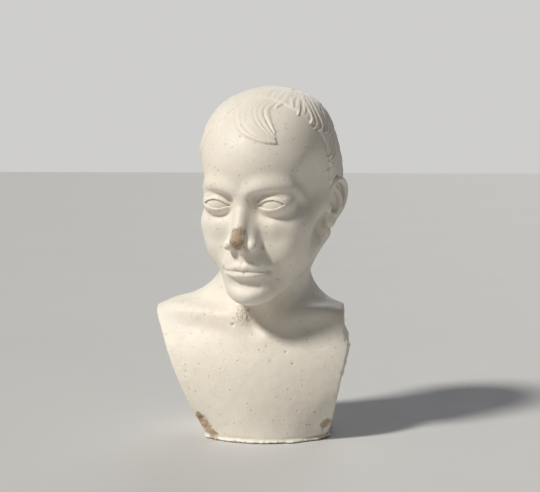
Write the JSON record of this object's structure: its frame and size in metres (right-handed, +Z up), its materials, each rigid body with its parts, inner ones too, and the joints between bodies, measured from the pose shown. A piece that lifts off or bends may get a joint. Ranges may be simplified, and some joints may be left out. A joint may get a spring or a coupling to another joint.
{
  "type": "portrait bust",
  "caption": "Bare-chested portrait bust with short forward-combed hair, cast as joined marble shells around a wire armature, standing on its own flat felt-lined base.",
  "frame": {"origin": "middle of the underside, on the surface the bust stands on", "axes": "+Z up, -Y out of the chest, +X towards the viewer's right when the chest is faced"},
  "size_m": [0.0901, 0.0844, 0.16],
  "materials": {
    "cast_marble": "matt cream-white cast marble with fine pores, bubbles and a few tan worn patches",
    "joint_plaster": "rough off-white plaster",
    "wire_steel": "dull galvanised wire",
    "base_felt": "dark green pressed wool felt"
  },
  "bodies": {
    "root": {"front_shell": "cast_marble", "back_shell": "cast_marble", "seam_lute": "joint_plaster", "crown_pad": "joint_plaster", "nape_pad": "joint_plaster", "left_pad": "joint_plaster", "right_pad": "joint_plaster", "base_plug": "joint_plaster", "armature_wire": "wire_steel", "felt_pad": "base_felt"}
  },
  "joints": []
}
